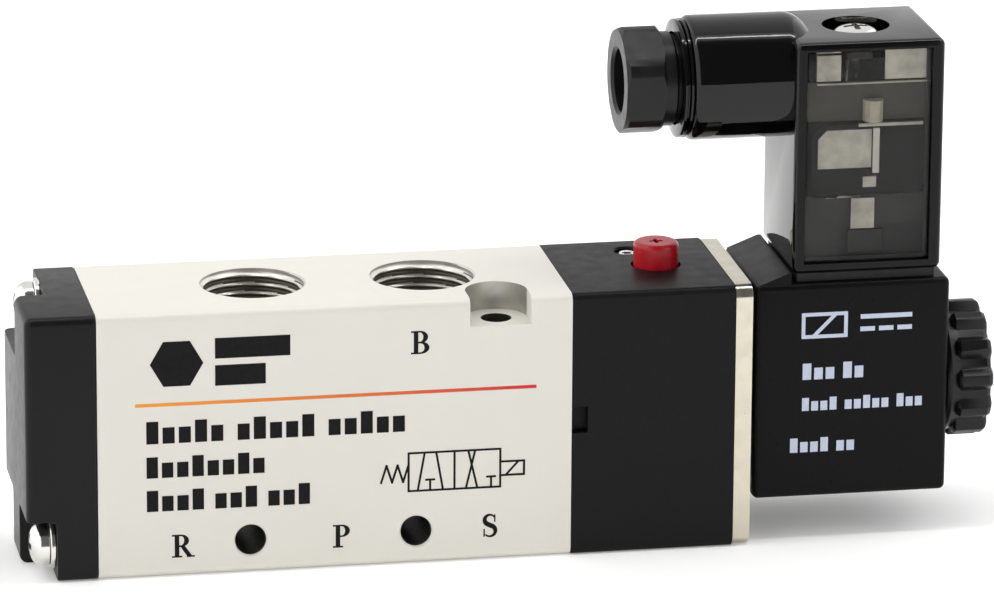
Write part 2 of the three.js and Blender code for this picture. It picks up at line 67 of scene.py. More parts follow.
# ---- Places, from the frame ----
BODY_LO, BODY_HI = corners("valve_body")
CAP_LO, CAP_HI = corners("end_cap")
PILOT_LO, PILOT_HI = corners("pilot_block")
PLATE_LO, PLATE_HI = corners("solenoid_plate")
COIL_LO, COIL_HI = corners("coil_housing")
NUT_LO, NUT_HI = corners("coil_nut")
PLUG_LO, PLUG_HI = corners("plug_housing")
PANE_LO, PANE_HI = corners("plug_window")
BUTTON_LO, BUTTON_HI = corners("override_button")
VENT_LO, VENT_HI = corners("vent_bush")
GLAND_LO, GLAND_HI = corners("gland_nut")
FRONT = BODY_LO.y
TOP = BODY_HI.z
SPOOL_Z = TOP / 2
COIL_AXIS = (corners("armature_tube")[0].z + corners("armature_tube")[1].z) / 2
GLAND_AXIS = (GLAND_LO.z + GLAND_HI.z) / 2


def station(x):
    """X in the row frame of a distance from the body's left end."""
    return BODY_LO.x + x


# ---- Sizes, in millimetres ----
TOP_PORTS = (24.7, 49.9)
BASE_PORTS = (12.4, 34.9, 57.4)
PORT_MOUTH = 7.7
PORT_MINOR = 7.15
PORT_MAJOR = 7.9
PORT_DEPTH = 9.0
THREAD_PITCH = 1.34
PASSAGE = 3.5
SPOOL_BORE = 6.5
CROSS_HOLES = (22.3, 46.75)
CROSS_HEIGHT = 5.0
CROSS_RADIUS = 2.3
CROSS_CHAMFER = 0.35
NOTCH_X = 59.2
NOTCH_Y = -9.4
NOTCH_RADIUS = 4.55
NOTCH_DEPTH = 4.2
NOTCH_HOLE = 2.25
SCREW_INSET = 4.6
CAP_RECESS = 4.4
CAP_RECESS_WIDTH = 9.6
HIGH_RECESS_WIDTH = 14.4
CAP_RECESS_HEIGHT = 9.2
HIGH_SCREW = (6.3, 36.6)
CAP_SCREW_HEAD = 3.25
WASHER_BORE = 1.7
WASHER_RADIUS = 3.7
SCREW_SHANK = 1.5
PILOT_NOTCH = (2.3, 1.5)
PILOT_NOTCH_Z = (18.8, 22.8)
BOSS_START = 88.6
BOSS_RADIUS = 9.2
NOSE_REACH = 5.8
PLUG_LEFT = 103.3
PLUG_TOP = 75.3
PLUG_SCREW_SINK = 2.7
PLUG_SCREW_HEAD = 3.6
PLUG_HEAD_HEIGHT = 2.5
PLUG_WALL = 1.5
HEX_ACROSS = 14.9
HEX_LENGTH = 5.9
HEX_TURN = 38.3
CABLE_RADIUS = 4.7
NUT_LOBES = 12
LOBE_DEPTH = 1.2
FIRST_LOBE = 25.3
INK_DEPTH = 0.03
LETTER_HEIGHT = 3.5
RULE_ENDS = (5.7, 64.3)
RULE_HEIGHT = 26.3

# ---- Strength of the light from each side of the studio ----
FRONT_GLOW = 0.12
BACK_GLOW = 0.9
WALL_GLOW = 1.42
STRIP_GLOW = 1.2
THIN_STRIP_GLOW = 18.0

# ---- Camera, in degrees and millimetres ----
CAMERA_AZIMUTH = -10.62
CAMERA_ELEVATION = 16.70
CAMERA_ROLL = -0.36
CAMERA_AIM = (-0.91, 0.0, 35.98)
CAMERA_DISTANCE = 996.9
CAMERA_LENS = 245.2


# ---- Mesh helpers ----
def place(axis, u, v, w):
    """A point from two coordinates across an axis and one along it."""
    return {"X": (w, u, v), "Y": (u, w, v), "Z": (u, v, w)}[axis]


def slab(low, high):
    """A box between two corners."""
    shape = bmesh.new()
    bmesh.ops.create_cube(shape, size=1)
    size = Vector(high) - Vector(low)
    middle = (Vector(high) + Vector(low)) / 2
    bmesh.ops.scale(shape, vec=size, verts=shape.verts)
    bmesh.ops.translate(shape, vec=middle, verts=shape.verts)
    return shape


def round_edges(shape, radius, keep=lambda edge: True, segments=5):
    """Rounds the edges that keep() picks."""
    edges = [edge for edge in shape.edges if keep(edge)]
    bmesh.ops.bevel(
        shape, geom=edges, offset=radius, segments=segments, profile=0.5, affect="EDGES", clamp_overlap=True
    )
    return shape


def prism(outline, axis, start, end):
    """A flat outline of (u, v) points drawn out along an axis."""
    shape = bmesh.new()
    low = [shape.verts.new(place(axis, u, v, start)) for u, v in outline]
    high = [shape.verts.new(place(axis, u, v, end)) for u, v in outline]
    shape.faces.new(low)
    shape.faces.new(high)
    count = len(outline)
    for i in range(count):
        j = (i + 1) % count
        shape.faces.new((low[i], low[j], high[j], high[i]))
    bmesh.ops.recalc_face_normals(shape, faces=shape.faces)
    return shape


def rounded_rectangle(width, height, radius, centre=(0, 0), steps=8):
    """Outline points of a rectangle with rounded corners."""
    points = []
    for corner, (su, sv) in enumerate(((1, 1), (-1, 1), (-1, -1), (1, -1))):
        for i in range(steps + 1):
            angle = math.radians(90 * corner + 90 * i / steps)
            u = su * (width / 2 - radius) + radius * math.cos(angle)
            v = sv * (height / 2 - radius) + radius * math.sin(angle)
            points.append((centre[0] + u, centre[1] + v))
    return points


def loft(rings, closed):
    """Joins rings of points; closed joins the last ring to the first, and otherwise both ends are capped."""
    shape = bmesh.new()
    made = [[shape.verts.new(point) for point in ring] for ring in rings]
    pairs = list(zip(made, made[1:] + made[:1]))
    for one, two in pairs if closed else pairs[:-1]:
        for i in range(len(one)):
            j = (i + 1) % len(one)
            shape.faces.new((one[i], one[j], two[j], two[i]))
    if not closed:
        shape.faces.new(made[0])
        shape.faces.new(made[-1])
    bmesh.ops.recalc_face_normals(shape, faces=shape.faces)
    return shape


def circle(axis, centre, along, radius, sides=SIDES):
    """A ring of points round an axis through centre."""
    turn = 2 * math.pi / sides
    points = []
    for i in range(sides):
        u = centre[0] + radius * math.cos(i * turn)
        v = centre[1] + radius * math.sin(i * turn)
        points.append(place(axis, u, v, along))
    return points


def turned(axis, centre, outline, sides=SIDES, closed=False):
    """A turned piece from (station, radius) points; closed makes a ring."""
    return loft([circle(axis, centre, s, r, sides) for s, r in outline], closed)


def rod(axis, centre, start, end, radius, sides=SIDES):
    return turned(axis, centre, [(start, radius), (end, radius)], sides)


def arc(centre, radius, start, end, steps=8):
    """(station, radius) points of an arc in a turned outline, angles in degrees."""
    points = []
    for i in range(steps + 1):
        angle = math.radians(start + (end - start) * i / steps)
        points.append((centre[0] + radius * math.cos(angle), centre[1] + radius * math.sin(angle)))
    return points


def scratch_object(shape):
    """A throwaway object that holds a shape."""
    mesh = bpy.data.meshes.new("scratch")
    shape.to_mesh(mesh)
    shape.free()
    made = bpy.data.objects.new("scratch", mesh)
    bpy.context.scene.collection.objects.link(made)
    return made


def combine(base, tools, operation="DIFFERENCE"):
    """base with each tool cut from it, or joined to it."""
    target = scratch_object(base)
    helpers = [scratch_object(tool) for tool in tools]
    for helper in helpers:
        step = target.modifiers.new("step", "BOOLEAN")
        step.solver = "EXACT"
        step.operation = operation
        step.object = helper
    bpy.context.view_layer.update()
    result = bmesh.new()
    result.from_object(target, bpy.context.evaluated_depsgraph_get())
    for made in [target, *helpers]:
        mesh = made.data
        bpy.data.objects.remove(made)
        bpy.data.meshes.remove(mesh)
    bmesh.ops.remove_doubles(result, verts=result.verts, dist=1e-4)
    bmesh.ops.dissolve_limit(
        result, angle_limit=math.radians(0.5), verts=result.verts, edges=result.edges, delimit={"NORMAL"}
    )
    return result


def piece(name, shape, look, body, stands_for=(), edge=0.0, sharp=32, areas=()):
    """Turns a shape into an object that rides on a body; edge is the width of its broken edges.

    look names a material. areas holds (look, test) pairs, where test takes a face's centre and normal.
    """
    for face in shape.faces:
        centre = face.calc_center_median()
        for i, (_, test) in enumerate(areas):
            if test(centre, face.normal):
                face.material_index = i + 1
    bmesh.ops.scale(shape, vec=(MM, MM, MM), verts=shape.verts)
    mesh = bpy.data.meshes.new(name)
    shape.to_mesh(mesh)
    shape.free()
    mesh.materials.append(MATERIALS[look])
    for extra, _ in areas:
        mesh.materials.append(MATERIALS[extra])
    for polygon in mesh.polygons:
        polygon.use_smooth = True
    made = bpy.data.objects.new(name, mesh)
    bpy.context.scene.collection.objects.link(made)
    if edge:
        bevel = made.modifiers.new("edges", "BEVEL")
        bevel.width = edge * MM
        bevel.segments = 3
        bevel.limit_method = "ANGLE"
        bevel.angle_limit = math.radians(sharp)
        bevel.harden_normals = True
        bevel.use_clamp_overlap = True
    else:
        mesh.set_sharp_from_angle(angle=math.radians(sharp))
    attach(made, body)
    if stands_for:
        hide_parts(*stands_for)
    return made


# ---- Materials ----
class Shader:
    """A Principled material whose textures are laid in the row frame's own coordinates."""

    def __init__(self, name, **values):
        self.material = bpy.data.materials.new(name)
        self.material.use_nodes = True
        self.tree = self.material.node_tree
        self.bsdf = self.tree.nodes["Principled BSDF"]
        self.place = self.add("ShaderNodeTexCoord").outputs["Object"]
        self.normal = None
        for socket, value in values.items():
            self.bsdf.inputs[socket.replace("_", " ")].default_value = value

    def add(self, kind, **settings):
        node = self.tree.nodes.new(kind)
        for key, value in settings.items():
            setattr(node, key, value)
        return node

    def link(self, source, target):
        self.tree.links.new(source, target)

    def noise(self, size, detail=3.0, stretch=(1, 1, 1), rough=0.5):
        """Noise with features of about size millimetres, longer where stretch is more than 1."""
        mapping = self.add("ShaderNodeMapping")
        mapping.inputs["Scale"].default_value = [1 / (size * MM * s) for s in stretch]
        node = self.add("ShaderNodeTexNoise")
        node.inputs["Scale"].default_value = 1.0
        node.inputs["Detail"].default_value = detail
        node.inputs["Roughness"].default_value = rough
        self.link(self.place, mapping.inputs["Vector"])
        self.link(mapping.outputs["Vector"], node.inputs["Vector"])
        return node.outputs["Fac"]

    def spread(self, factor, low, high, start=0.3, end=0.7):
        """Maps a factor to a range of values."""
        node = self.add("ShaderNodeMapRange")
        node.inputs["From Min"].default_value = start
        node.inputs["From Max"].default_value = end
        node.inputs["To Min"].default_value = low
        node.inputs["To Max"].default_value = high
        self.link(factor, node.inputs["Value"])
        return node.outputs["Result"]

    def blend(self, factor, one, two):
        """Two colours mixed by a factor."""
        node = self.add("ShaderNodeMix", data_type="RGBA")
        self.link(factor, node.inputs[0])
        node.inputs[6].default_value = (*one, 1)
        node.inputs[7].default_value = (*two, 1)
        return node.outputs[2]

    def tint(self, factor, one, two):
        self.link(self.blend(factor, one, two), self.bsdf.inputs["Base Color"])

    def roughen(self, factor, low, high):
        self.link(self.spread(factor, low, high), self.bsdf.inputs["Roughness"])

    def bump(self, height, depth, strength=1.0):
        """Adds relief of depth millimetres."""
        node = self.add("ShaderNodeBump")
        node.inputs["Strength"].default_value = strength
        node.inputs["Distance"].default_value = depth * MM
        self.link(height, node.inputs["Height"])
        if self.normal:
            self.link(self.normal, node.inputs["Normal"])
        self.normal = node.outputs["Normal"]
        self.link(self.normal, self.bsdf.inputs["Normal"])


def champagne_aluminium():
    """Fine-blasted, champagne-anodised aluminium."""
    shader = Shader("champagne_anodised", Metallic=0.1, Specular_IOR_Level=0.4)
    shader.tint(shader.noise(9, 2), (0.735, 0.714, 0.650), (0.760, 0.740, 0.676))
    shader.roughen(shader.noise(3.5), 0.40, 0.50)
    shader.bump(shader.noise(0.16, 2), 0.010, 0.45)
    return shader.material


def bare_aluminium(name, one, two, rough):
    """Cut metal with fine tool marks."""
    shader = Shader(name, Metallic=0.75)
    shader.tint(shader.noise(2.5, 3), one, two)
    shader.roughen(shader.noise(0.9), rough, rough + 0.15)
    shader.bump(shader.noise(0.25, 3, (6, 6, 1)), 0.012, 0.5)
    return shader.material


def satin_plastic(name, color, rough, grain, relief, specular=0.1):
    """Moulded plastic with a fine spark-eroded grain."""
    shader = Shader(name, Specular_IOR_Level=specular)
    shader.tint(shader.noise(0.9, 4), color, tuple(1.5 * c for c in color))
    shader.roughen(shader.noise(2.2, 4), rough - 0.03, rough + 0.05)
    shader.bump(shader.noise(grain, 3), relief, 0.6)
    return shader.material


def gloss_plastic(name, color):
    """Polished moulding with faint flow marks and fine scratches."""
    shader = Shader(name, Specular_IOR_Level=0.38)
    shader.tint(shader.noise(7, 3), color, tuple(1.5 * c for c in color))
    shader.roughen(shader.noise(4, 5), 0.021, 0.063)
    shader.bump(shader.noise(5, 2), 0.05, 0.35)
    shader.bump(shader.noise(1.6, 3, (1.5, 1, 1)), 0.02, 0.35)
    shader.bump(shader.noise(0.9, 5, (9, 1, 1), 0.7), 0.006, 0.4)
    return shader.material


def plated(name, one, two, rough, drawn=(1, 1, 1)):
    """Nickel plate or bare steel, with fine lines drawn out along one direction."""
    shader = Shader(name, Metallic=1.0)
    shader.tint(shader.noise(2.5, 4), one, two)
    shader.roughen(shader.noise(1.5, 4), rough * 0.7, rough * 1.4)
    shader.bump(shader.noise(0.25, 3, drawn), 0.006, 0.5)
    return shader.material


def rubber_black():
    shader = Shader("nitrile_rubber", Specular_IOR_Level=0.25)
    shader.tint(shader.noise(1.5, 4), (0.012, 0.012, 0.013), (0.03, 0.03, 0.03))
    shader.roughen(shader.noise(0.8), 0.6, 0.8)
    shader.bump(shader.noise(0.25, 4), 0.02, 0.6)
    return shader.material


def copper_wire():
    """Enamelled wire wound in close turns."""
    shader = Shader("copper_wire", Metallic=0.9)
    wave = shader.add("ShaderNodeTexWave", wave_type="BANDS", bands_direction="X")
    wave.inputs["Scale"].default_value = 1 / (0.35 * MM * 6.3)
    wave.inputs["Distortion"].default_value = 0.4
    shader.link(shader.place, wave.inputs["Vector"])
    shader.tint(wave.outputs["Fac"], (0.30, 0.10, 0.04), (0.66, 0.30, 0.13))
    shader.roughen(shader.noise(1.0), 0.25, 0.4)
    shader.bump(wave.outputs["Fac"], 0.08)
    return shader.material


def smoked_pane():
    """Smoked clear plastic: tinted when looked through, with a soft gloss."""
    shader = Shader("smoked_clear", Roughness=0.03, IOR=1.25, Transmission_Weight=1.0)
    shader.tint(shader.noise(12, 2), (0.74, 0.735, 0.71), (0.80, 0.79, 0.76))
    shader.bump(shader.noise(5, 2), 0.02, 0.3)
    return shader.material


def ink(name, one, two):
    """Screen-printed ink, slightly uneven."""
    shader = Shader(name, Specular_IOR_Level=0.1)
    shader.tint(shader.noise(0.7, 4), one, two)
    shader.roughen(shader.noise(0.5), 0.45, 0.65)
    return shader.material


def rule_ink(start, end):
    """Printed rule that runs from orange to red between two X stations."""
    shader = Shader("rule_ink", Roughness=0.45, Specular_IOR_Level=0.3)
    split = shader.add("ShaderNodeSeparateXYZ")
    shader.link(shader.place, split.inputs["Vector"])
    along = shader.spread(split.outputs["X"], 0.0, 1.0, start * MM, end * MM)
    shader.tint(along, (0.85, 0.33, 0.03), (0.62, 0.02, 0.03))
    return shader.material


MATERIALS = {
    "champagne": champagne_aluminium(),
    "cut_metal": bare_aluminium("cut_metal", (0.40, 0.39, 0.35), (0.56, 0.55, 0.50), 0.28),
    "crest": bare_aluminium("thread_crest", (0.60, 0.59, 0.54), (0.76, 0.75, 0.70), 0.34),
    # dark groove colour: painted shade deep in the port threads
    "groove": bare_aluminium("thread_groove_painted_shade", (0.10, 0.095, 0.075), (0.17, 0.16, 0.13), 0.35),
    # near-black hole colour: painted shade inside the drilled holes
    "hole": bare_aluminium("deep_hole_painted_shade", (0.055, 0.055, 0.045), (0.10, 0.10, 0.085), 0.4),
    "cap_black": satin_plastic("cap_black", (0.0046, 0.0046, 0.0050), 0.34, 0.20, 0.012, 0.2),
    "pilot_black": satin_plastic("pilot_black", (0.0048, 0.0048, 0.0053), 0.40, 0.24, 0.024, 0.14),
    "coil_black": satin_plastic("coil_black", (0.0034, 0.0034, 0.0038), 0.30, 0.35, 0.006),
    "nut_black": satin_plastic("nut_black", (0.0030, 0.0030, 0.0034), 0.30, 0.25, 0.012, 0.3),
    "gland_black": satin_plastic("gland_black", (0.0040, 0.0040, 0.0044), 0.33, 0.30, 0.016, 0.3),
    "frame_black": satin_plastic("frame_black", (0.0022, 0.0022, 0.0024), 0.2, 0.8, 0.004, 0.2),
    "gloss_black": gloss_plastic("gloss_black", (0.0012, 0.0012, 0.0014)),
    "inner_grey": satin_plastic("inner_grey", (0.052, 0.053, 0.056), 0.5, 1.2, 0.0004, 0.1),
    "inner_haze": satin_plastic("inner_haze", (0.085, 0.083, 0.074), 0.6, 3.0, 0.003, 0.1),
    "inner_dark": satin_plastic("inner_dark", (0.018, 0.018, 0.020), 0.6, 0.6, 0.003, 0.1),
    "red": satin_plastic("override_red", (0.36, 0.006, 0.012), 0.26, 0.5, 0.004, 0.35),
    "nickel": plated("nickel_plate", (0.70, 0.69, 0.66), (0.86, 0.85, 0.82), 0.16),
    "champagne_plate": plated("champagne_plate", (0.54, 0.50, 0.40), (0.70, 0.66, 0.55), 0.20, (1, 1, 9)),
    "steel": plated("turned_steel", (0.48, 0.48, 0.49), (0.66, 0.66, 0.67), 0.26, (1, 8, 8)),
    # the wide dark-to-light mottling on the tinned plates is painted shading and sheen over the metal's own
    # grey
    "tin": bare_aluminium("tinned_plate_painted_shading", (0.26, 0.255, 0.225), (0.92, 0.90, 0.82), 0.45),
    "brass": plated("turned_brass", (0.60, 0.40, 0.14), (0.76, 0.56, 0.24), 0.28, (1, 8, 8)),
    "copper": copper_wire(),
    "rubber": rubber_black(),
    "smoked": smoked_pane(),
    "board": satin_plastic("board_grey", (0.020, 0.020, 0.021), 0.5, 0.4, 0.01),
    "lamp": satin_plastic("lamp_body", (0.50, 0.48, 0.38), 0.3, 0.6, 0.01, 0.5),
    "ink_black": ink("ink_black", (0.006, 0.006, 0.006), (0.012, 0.012, 0.013)),
    "ink_white": ink("ink_white", (0.50, 0.55, 0.68), (0.60, 0.65, 0.78)),
    "rule_ink": rule_ink(*(station(x) for x in RULE_ENDS)),
}


# ---- Valve body ----
def port_cutters(x, side):
    """Mouth, undercut for the thread ring, and passage of one port; side is +1 on top and -1 in the base."""
    face = TOP if side > 0 else 0.0
    centre = (station(x), 0)
    return [
        rod("Z", centre, face + side, face - side * 0.9, PORT_MOUTH + 0.06),
        rod("Z", centre, face - side * 0.85, face - side * (PORT_DEPTH + 0.3), PORT_MAJOR + 0.3),
        rod("Z", centre, face - side * PORT_DEPTH, SPOOL_Z, PASSAGE, 48),
    ]


def thread_ring(x, side):
    """A ring with a V thread down its bore and a countersunk mouth."""
    face = TOP if side > 0 else 0.0
    outer = PORT_MAJOR + 0.25
    steps = 62

    def inner_ring(depth):
        ring = []
        for i in range(SIDES):
            turn = i / SIDES
            phase = (depth / THREAD_PITCH + turn) % 1.0
            groove = 1 - abs(2 * phase - 1)
            radius = PORT_MINOR + (PORT_MAJOR - PORT_MINOR) * min(1.0, 1.25 * groove)
            radius = max(radius, PORT_MOUTH - 0.9 * depth)
            if depth < 0.95:
                radius = min(radius, PORT_MOUTH)
            angle = 2 * math.pi * turn
            across = (station(x) + radius * math.cos(angle), radius * math.sin(angle))
            ring.append(place("Z", *across, face - side * depth))
        return ring

    def plain_ring(radius, depth):
        return circle("Z", (station(x), 0), face - side * depth, radius)

    depths = [0.04 + (PORT_DEPTH - 0.1) * i / steps for i in range(steps + 1)]
    rings = [inner_ring(depth) for depth in depths]
    rings += [plain_ring(outer, depths[-1]), plain_ring(outer, 0.95)]
    rings += [plain_ring(PORT_MOUTH + 0.03, 0.95), plain_ring(PORT_MOUTH + 0.03, depths[0])]
    return loft(rings, closed=True)


def build_body():
    floor = TOP - NOTCH_DEPTH
    notch = (station(NOTCH_X), NOTCH_Y)
    stock = prism(
        rounded_rectangle(BODY_HI.y - BODY_LO.y, TOP, 1.3, (0, TOP / 2)), "X", BODY_LO.x, BODY_HI.x
    )
    tools = [rod("X", (0, SPOOL_Z), BODY_LO.x - 1, BODY_HI.x + 1, SPOOL_BORE, 64)]
    for x in TOP_PORTS:
        tools += port_cutters(x, 1)
    for x in BASE_PORTS:
        tools += port_cutters(x, -1)
    for x in CROSS_HOLES:
        across = (station(x), CROSS_HEIGHT)
        tools.append(rod("Y", across, FRONT - 1, -FRONT + 1, CROSS_RADIUS, 48))
        for face, depth in ((FRONT - 0.1, CROSS_CHAMFER), (-FRONT + 0.1, -CROSS_CHAMFER)):
            cone = [(face, CROSS_RADIUS + CROSS_CHAMFER), (face + depth, CROSS_RADIUS)]
            tools.append(turned("Y", across, cone, 48))
    tools.append(rod("Z", notch, -1, TOP, NOTCH_HOLE, 48))
    seat = rod("Z", notch, floor, TOP + 1, NOTCH_RADIUS)
    mouth = slab(
        (notch[0] - NOTCH_RADIUS, FRONT - 1, floor), (notch[0] + NOTCH_RADIUS, NOTCH_Y, TOP + 1)
    )
    tools.append(combine(seat, [mouth], "UNION"))
    shape = combine(stock, tools)

    def in_seat(centre, normal):
        near = math.hypot(centre.x - notch[0], centre.y - notch[1]) < NOTCH_RADIUS + 0.3
        return near and TOP > centre.z > floor + 0.05 and abs(normal.z) < 0.5 and centre.y > FRONT + 0.1

    # faces inside the cross holes and the drop hole take the near-black colour, which is painted shade
    def in_shaded_hole(centre, normal):
        offsets = [math.hypot(centre.x - station(x), centre.z - CROSS_HEIGHT) for x in CROSS_HOLES]
        cross = min(offsets) < CROSS_RADIUS + 0.1
        drop = math.hypot(centre.x - notch[0], centre.y - notch[1]) < NOTCH_HOLE + 0.1
        inside = FRONT + 0.3 < centre.y < -FRONT - 0.3 and 0.3 < centre.z < floor - 0.05
        return inside and (cross or drop)

    areas = [("cut_metal", in_seat), ("hole", in_shaded_hole)]
    piece(
        "body_casting",
        shape,
        "champagne",
        "valve",
        ["valve_body"],
        edge=0.14,
        areas=areas,
    )
    for side, ports in ((1, TOP_PORTS), (-1, BASE_PORTS)):
        for i, x in enumerate(ports):
            label = "top" if side > 0 else "base"
            name = f"port_thread_{label}_{i + 1}"
            mid = (PORT_MINOR + PORT_MAJOR) / 2

            # faces out in the thread grooves take the dark colour, which is painted shade
            def in_groove_shade(centre, normal, x=x):
                off = math.hypot(centre.x - station(x), centre.y)
                return off > mid and TOP - 0.9 > centre.z > 0.9

            ring = thread_ring(x, side)
            areas = [("groove", in_groove_shade)]
            piece(name, ring, "crest", "valve", sharp=60, areas=areas)


# ---- End cap ----
def cap_corners():
    """(y, z, width of the recess) for the cap's screws: low front, low back and high back."""
    low = SCREW_INSET
    return [
        (FRONT + SCREW_INSET, low, CAP_RECESS_WIDTH),
        (-FRONT - SCREW_INSET, low, CAP_RECESS_WIDTH),
        (*HIGH_SCREW, HIGH_RECESS_WIDTH),
    ]


def build_end_cap():
    stock = slab(CAP_LO, CAP_HI)
    round_edges(stock, 1.2, lambda edge: not all(abs(v.co.x - CAP_HI.x) < 0.01 for v in edge.verts))
    floor = CAP_LO.x + CAP_RECESS
    tools = [rod("X", (0, SPOOL_Z), BODY_LO.x - 7.5, BODY_LO.x + 1, 5.4, 64)]
    for y, z, wide in cap_corners():
        y_span = (FRONT - 1, FRONT + wide) if y < 0 else (-FRONT - wide, -FRONT + 1)
        z_span = (-1, CAP_RECESS_HEIGHT) if z < SPOOL_Z else (TOP - CAP_RECESS_HEIGHT, TOP + 1)
        recess = slab((CAP_LO.x - 1, y_span[0], z_span[0]), (floor, y_span[1], z_span[1]))
        tools.append(round_edges(recess, 0.8, segments=4))
        tools.append(rod("X", (y, z), CAP_LO.x, CAP_HI.x + 1, 1.8, 32))
    shape = combine(stock, tools)
    piece("end_cap_shell", shape, "cap_black", "valve", ["end_cap"], edge=0.2)


def pan_head(axis, centre, seat, facing, radius, height):
    """A domed screw head with a cross recess; facing is the sign of the way that it looks."""
    dome = [(0.0, radius - 0.15), (0.12, radius), (height * 0.35, radius)]
    for i in range(1, 11):
        angle = math.radians(9 * i)
        dome.append((height * (0.35 + 0.65 * math.sin(angle)), max(0.05, radius * math.cos(angle) ** 0.75)))
    outline = [(seat + facing * s, r) for s, r in dome]
    head = turned(axis, centre, outline)
    tip = seat + facing * height
    sunk = 0.55 * height
    cutters = []
    low, high = sorted((tip - facing * sunk, tip + facing))
    for half_u, half_v in ((radius * 0.5, 0.42), (0.42, radius * 0.5)):
        arm = rounded_rectangle(2 * half_u, 2 * half_v, 0.15, centre, 2)
        cutters.append(prism(arm, axis, low, high))
    return combine(head, cutters)


def build_cap_screws():
    for i, (y, z, _) in enumerate(cap_corners()):
        washer_lo, washer_hi = corners(f"cap_washer_{i + 1}")
        screw_lo, screw_hi = corners(f"cap_screw_{i + 1}")
        ring = [(washer_hi.x, WASHER_BORE), (washer_hi.x, WASHER_RADIUS - 0.15)]
        ring += [(washer_hi.x - 0.15, WASHER_RADIUS), (washer_lo.x + 0.15, WASHER_RADIUS)]
        ring += [(washer_lo.x, WASHER_RADIUS - 0.15), (washer_lo.x, WASHER_BORE)]
        washer = turned("X", (y, z), ring, closed=True)
        nodes = [f"cap_washer_{i + 1}", f"cap_screw_{i + 1}"]
        piece(f"{nodes[0]}_fine", washer, "nickel", "valve", nodes[:1])
        seat = washer_lo.x - 0.05
        head = pan_head("X", (y, z), seat, -1, CAP_SCREW_HEAD, seat - screw_lo.x)
        shank = rod("X", (y, z), seat - 0.5, screw_hi.x, SCREW_SHANK, 48)
        screw = combine(head, [shank], "UNION")
        piece(f"{nodes[1]}_fine", screw, "nickel", "valve", nodes[1:], edge=0.06)


# ---- Pilot block ----
def build_pilot_block():
    stock = prism(
        rounded_rectangle(PILOT_HI.y - PILOT_LO.y, TOP, 1.0, (0, TOP / 2)), "X", PILOT_LO.x, PILOT_HI.x
    )
    override = ((BUTTON_LO.x + BUTTON_HI.x) / 2, 0)
    vent = ((VENT_LO.x + VENT_HI.x) / 2, (VENT_LO.y + VENT_HI.y) / 2)
    seat = PILOT_HI.x - 6
    tools = [
        slab(
            (PILOT_LO.x - 1, FRONT - 1, PILOT_NOTCH_Z[0]),
            (PILOT_LO.x + PILOT_NOTCH[0], FRONT + PILOT_NOTCH[1], PILOT_NOTCH_Z[1]),
        ),
        rod("Z", override, 33.2, TOP + 1, 3.7),
        rod("Z", override, 24, 34, 2.25, 48),
        turned("Z", vent, [(TOP - 2.4, 1.9), (TOP - 0.25, 1.9), (TOP + 0.1, 2.2)], 64),
        rod("X", (0, SPOOL_Z), PILOT_LO.x - 1, PILOT_LO.x + 9.6, 9.6, 64),
        rod("X", (0, COIL_AXIS), seat, PILOT_HI.x + 1, 5.3, 64),
    ]
    shape = combine(stock, tools)
    piece("pilot_casing", shape, "pilot_black", "valve", ["pilot_block"], edge=0.16)
    ring = [(VENT_LO.z, 0.7), (VENT_HI.z - 0.1, 0.7), (VENT_HI.z, 0.85), (VENT_HI.z, 1.1)]
    ring += [(VENT_HI.z - 0.15, 1.25), (VENT_LO.z, 1.25)]
    bush = turned("Z", vent, ring, 48, closed=True)
    piece("vent_bush_fine", bush, "nickel", "valve", ["vent_bush"])


def build_override_button():
    centre = ((BUTTON_LO.x + BUTTON_HI.x) / 2, 0)
    radius = (BUTTON_HI.y - BUTTON_LO.y) / 2
    top = BUTTON_HI.z
    outline = [(BUTTON_LO.z, radius - 0.2), (BUTTON_LO.z + 0.2, radius), (top - 0.7, radius)]
    outline += arc((top - 0.7, radius - 0.7), 0.7, 90, 0)
    outline.append((top - 0.05, 1.6))
    button = turned("Z", centre, outline)
    cutters = []
    for half_u, half_v in ((1.0, 0.28), (0.28, 1.0)):
        slot = rounded_rectangle(2 * half_u, 2 * half_v, 0.15, centre, 3)
        cutters.append(prism(slot, "Z", top - 1, top + 1))
    shape = combine(button, cutters)
    node = "override_button"
    piece(f"{node}_fine", shape, "red", node, [node], edge=0.08)


# ---- Solenoid ----
def build_plate():
    stock = prism(
        rounded_rectangle(PLATE_HI.y - PLATE_LO.y, TOP, 2.0, (0, TOP / 2), 12), "X", PLATE_LO.x, PLATE_HI.x
    )
    tools = [rod("X", (0, COIL_AXIS), PLATE_LO.x - 1, PLATE_HI.x + 1, 4.75, 64)]
    for y, z in ((FRONT + SCREW_INSET, SCREW_INSET), (-FRONT - SCREW_INSET, TOP - SCREW_INSET)):
        tools.append(rod("X", (y, z), PLATE_LO.x - 1, PLATE_HI.x + 1, 1.8, 32))
        tools.append(rod("X", (y, z), PLATE_HI.x - 1.6, PLATE_HI.x + 1, 3.2, 48))
    shape = combine(stock, tools)
    piece("solenoid_plate_fine", shape, "champagne_plate", "valve", ["solenoid_plate"], edge=0.25)


